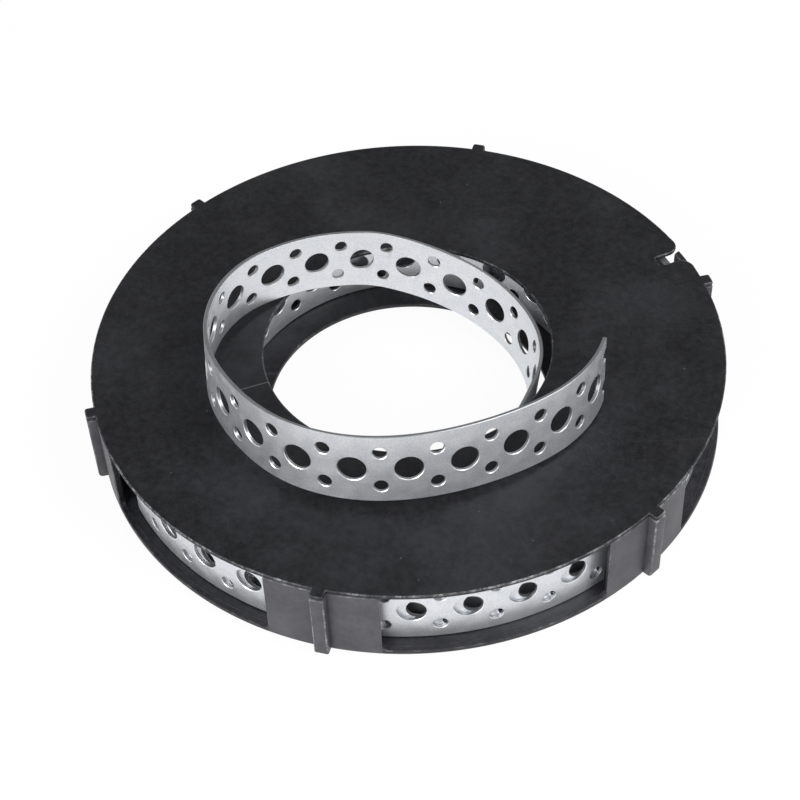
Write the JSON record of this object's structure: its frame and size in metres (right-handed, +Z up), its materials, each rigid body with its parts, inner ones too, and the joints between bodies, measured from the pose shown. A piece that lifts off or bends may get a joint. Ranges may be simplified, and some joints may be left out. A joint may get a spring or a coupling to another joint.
{
  "type": "perforated steel strap",
  "caption": "Galvanised steel fixing strap with large and small punched holes, wound in a flat round black plastic dispenser cassette, its inner end looped out over the lid.",
  "frame": {"origin": "centre of the coil on the underside of the cassette", "axes": "+Z up along the axis of the coil, -Y to the front of the picture, +X to its right"},
  "size_m": [0.1408, 0.14, 0.0386],
  "materials": {
    "cassette": "satin black",
    "zinc": "galvanised"
  },
  "bodies": {
    "root": {"base": "cassette", "lid": "cassette", "strap": "zinc"}
  },
  "joints": []
}
